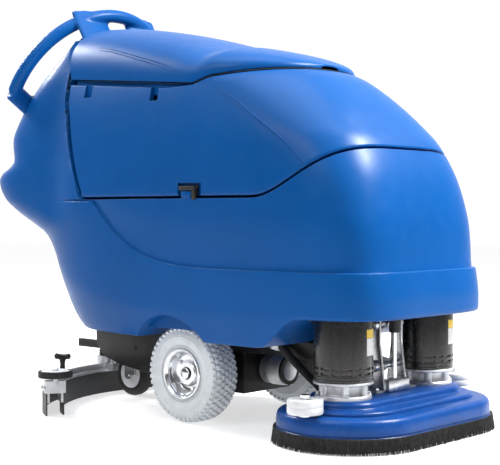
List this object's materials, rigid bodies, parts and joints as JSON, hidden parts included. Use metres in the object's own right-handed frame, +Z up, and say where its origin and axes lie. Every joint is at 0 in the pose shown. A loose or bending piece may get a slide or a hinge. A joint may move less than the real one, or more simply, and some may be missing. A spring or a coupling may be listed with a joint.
{
  "type": "floor scrubber machine",
  "caption": "Walk-behind floor scrubber-dryer: moulded tank body with hinged lid, twin-disc brush deck on lift links, driven wheels, rear caster, curved squeegee and hoop handle.",
  "frame": {"origin": "on the floor, under the middle of the machine's bounding box", "axes": "+X forward, towards the brush deck; +Y to the machine's left; +Z up"},
  "size_m": [1.4676, 0.8582, 1.1254],
  "materials": {
    "blue_shell": "satin moulded",
    "deck_blue": "satin moulded",
    "black_steel": "satin",
    "motor_black": "semi-gloss",
    "black_plastic": "textured",
    "steel": "zinc plated",
    "cast_alloy": "die cast",
    "grey_tyre": "non-marking rubber",
    "black_rubber": "matte",
    "grey_plastic": "moulded",
    "bristle": "bristle",
    "brush_blue": "bristle",
    "blade_rubber": "matte",
    "white_plastic": "moulded",
    "red_plastic": "gloss"
  },
  "bodies": {
    "machine": {"lower_body": "blue_shell", "rear_column": "blue_shell", "tank_hinge_blocks": "black_plastic", "chassis_frame": "black_steel", "battery_pack": "black_plastic", "drive_unit": "cast_alloy", "vacuum_motor": "cast_alloy", "controller_box": "cast_alloy", "lift_actuator": "black_plastic", "hose_fitting": "cast_alloy", "handle_hoop": "blue_shell", "console_panel": "black_plastic", "drain_hose": "black_rubber", "solution_hose": "black_rubber"},
    "tank": {"recovery_tank": "blue_shell", "lid_seal": "black_rubber", "tank_side_hinges": "black_plastic", "float_cage": "white_plastic"},
    "lid": {"tank_lid": "blue_shell", "lid_hinge_arms": "black_plastic"},
    "latch": {"tank_latch": "black_plastic"},
    "float": {"float_ball": "red_plastic"},
    "wheel_right": {"tyre_right": "grey_tyre", "rim_right": "steel", "wheel_nuts_right": "steel"},
    "wheel_left": {"tyre_left": "grey_tyre", "rim_left": "steel", "wheel_nuts_left": "steel"},
    "caster_swivel": {"caster_fork": "steel"},
    "caster_wheel": {"caster_tyre": "black_rubber", "caster_hub": "grey_plastic"},
    "link_upper": {"upper_link": "steel"},
    "link_lower": {"lower_link": "steel"},
    "deck": {"deck_lower": "deck_blue", "deck_upper": "deck_blue", "bristle_skirt": "bristle", "brush_motors": "motor_black", "gearboxes": "cast_alloy", "lift_tower": "steel", "actuator_rod": "steel", "bumper_rollers_bolts": "steel"},
    "brush_r": {"brush_right": "brush_blue"},
    "brush_l": {"brush_left": "brush_blue"},
    "bumper_r": {"bumper_roller_right": "grey_plastic"},
    "bumper_l": {"bumper_roller_left": "grey_plastic"},
    "yoke": {"squeegee_yoke": "black_steel"},
    "squeegee": {"squeegee_body": "cast_alloy", "squeegee_blades": "blade_rubber", "squeegee_knobs": "black_plastic", "vacuum_hose": "black_rubber"},
    "side_roller_r": {"side_roller_right": "black_rubber"},
    "side_roller_l": {"side_roller_left": "black_rubber"},
    "key": {"key_switch": "steel"},
    "stop_button": {"emergency_stop": "red_plastic"},
    "speed": {"speed_knob": "black_plastic"},
    "button_brush": {"brush_button": "grey_plastic"},
    "button_water": {"water_button": "grey_plastic"},
    "button_suction": {"suction_button": "grey_plastic"},
    "bail": {"drive_bail": "black_plastic"},
    "lever": {"squeegee_lever": "black_plastic"}
  },
  "joints": [
    {"name": "tank_tilt", "type": "hinge", "parent": "machine", "child": "tank", "pos_m": [0, 0.314, 0.556], "axis": [-1, 0, 0], "range_deg": [0, 55]},
    {"name": "lid_open", "type": "hinge", "parent": "tank", "child": "lid", "pos_m": [0, 0.283, 0.858], "axis": [-1, 0, 0], "range_deg": [0, 75]},
    {"name": "latch_turn", "type": "hinge", "parent": "tank", "child": "latch", "pos_m": [0.176, -0.294, 0.594], "axis": [-1, 0, 0], "range_deg": [0, 70]},
    {"name": "float_rise", "type": "slide", "parent": "tank", "child": "float", "axis": [0, 0, 1], "range_m": [0, 0.045]},
    {"name": "wheel_right_spin", "type": "hinge", "parent": "machine", "child": "wheel_right", "pos_m": [0.095, -0.2, 0.125], "axis": [0, 1, 0], "continuous": true},
    {"name": "wheel_left_spin", "type": "hinge", "parent": "machine", "child": "wheel_left", "pos_m": [0.095, 0.2, 0.125], "axis": [0, 1, 0], "continuous": true},
    {"name": "caster_turn", "type": "hinge", "parent": "machine", "child": "caster_swivel", "pos_m": [-0.305, 0, 0.152], "axis": [0, 0, 1], "continuous": true},
    {"name": "caster_spin", "type": "hinge", "parent": "caster_swivel", "child": "caster_wheel", "pos_m": [-0.345, 0, 0.0625], "axis": [0, 1, 0], "continuous": true},
    {"name": "deck_lift", "type": "slide", "parent": "machine", "child": "deck", "axis": [0, 0, 1], "range_m": [0, 0.0499], "deforming": ["solution_hose"]},
    {"name": "upper_link_turn", "type": "hinge", "parent": "machine", "child": "link_upper", "pos_m": [0.43, 0, 0.288], "axis": [0, -1, 0], "range_deg": [0, 23.1]},
    {"name": "lower_link_turn", "type": "hinge", "parent": "machine", "child": "link_lower", "pos_m": [0.43, 0, 0.188], "axis": [0, -1, 0], "range_deg": [0, 23.1]},
    {"name": "brush_right_spin", "type": "hinge", "parent": "deck", "child": "brush_r", "pos_m": [0.553, -0.167, 0.04], "axis": [0, 0, 1], "continuous": true},
    {"name": "brush_left_spin", "type": "hinge", "parent": "deck", "child": "brush_l", "pos_m": [0.553, 0.167, 0.04], "axis": [0, 0, 1], "continuous": true},
    {"name": "bumper_right_spin", "type": "hinge", "parent": "deck", "child": "bumper_r", "pos_m": [0.553, -0.305, 0.1], "axis": [0, 0, 1], "continuous": true},
    {"name": "bumper_left_spin", "type": "hinge", "parent": "deck", "child": "bumper_l", "pos_m": [0.553, 0.305, 0.1], "axis": [0, 0, 1], "continuous": true},
    {"name": "squeegee_lift", "type": "hinge", "parent": "machine", "child": "yoke", "pos_m": [-0.19, 0, 0.158], "axis": [0, 1, 0], "range_deg": [0, 12]},
    {"name": "squeegee_swing", "type": "hinge", "parent": "yoke", "child": "squeegee", "pos_m": [-0.432, 0, 0.1], "axis": [0, 0, 1], "range_deg": [-10, 10], "deforming": ["vacuum_hose"]},
    {"name": "side_roller_right_spin", "type": "hinge", "parent": "squeegee", "child": "side_roller_r", "pos_m": [-0.22873, -0.38409, 0.11], "axis": [0, 0, 1], "continuous": true},
    {"name": "side_roller_left_spin", "type": "hinge", "parent": "squeegee", "child": "side_roller_l", "pos_m": [-0.22873, 0.38409, 0.11], "axis": [0, 0, 1], "continuous": true},
    {"name": "key_turn", "type": "hinge", "parent": "machine", "child": "key", "pos_m": [-0.52066, 0.098, 0.90434], "axis": [-0.7071, 0, 0.7071], "range_deg": [0, 90]},
    {"name": "stop_press", "type": "slide", "parent": "machine", "child": "stop_button", "axis": [0.7071, 0, -0.7071], "range_m": [0, 0.006], "stiffness_N_per_m": 800},
    {"name": "speed_turn", "type": "hinge", "parent": "machine", "child": "speed", "pos_m": [-0.56308, -0.098, 0.86192], "axis": [-0.7071, 0, 0.7071], "range_deg": [0, 270]},
    {"name": "brush_press", "type": "slide", "parent": "machine", "child": "button_brush", "axis": [0.7071, 0, -0.7071], "range_m": [0, 0.003], "stiffness_N_per_m": 600},
    {"name": "water_press", "type": "slide", "parent": "machine", "child": "button_water", "axis": [0.7071, 0, -0.7071], "range_m": [0, 0.003], "stiffness_N_per_m": 600},
    {"name": "suction_press", "type": "slide", "parent": "machine", "child": "button_suction", "axis": [0.7071, 0, -0.7071], "range_m": [0, 0.003], "stiffness_N_per_m": 600},
    {"name": "bail_squeeze", "type": "hinge", "parent": "machine", "child": "bail", "pos_m": [-0.6041, 0, 0.85202], "axis": [0, 1, 0], "range_deg": [-14, 14], "stiffness_Nm_per_rad": 4},
    {"name": "lever_lift", "type": "hinge", "parent": "machine", "child": "lever", "pos_m": [-0.676, 0.13, 0.716], "axis": [0, -1, 0], "range_deg": [0, 48]}
  ],
  "couplings": [
    {"joint": "upper_link_turn", "follows": "deck_lift", "rad_per_m": 8.045},
    {"joint": "lower_link_turn", "follows": "deck_lift", "rad_per_m": 8.045},
    {"joint": "lever_lift", "follows": "squeegee_lift", "ratio": 4}
  ]
}
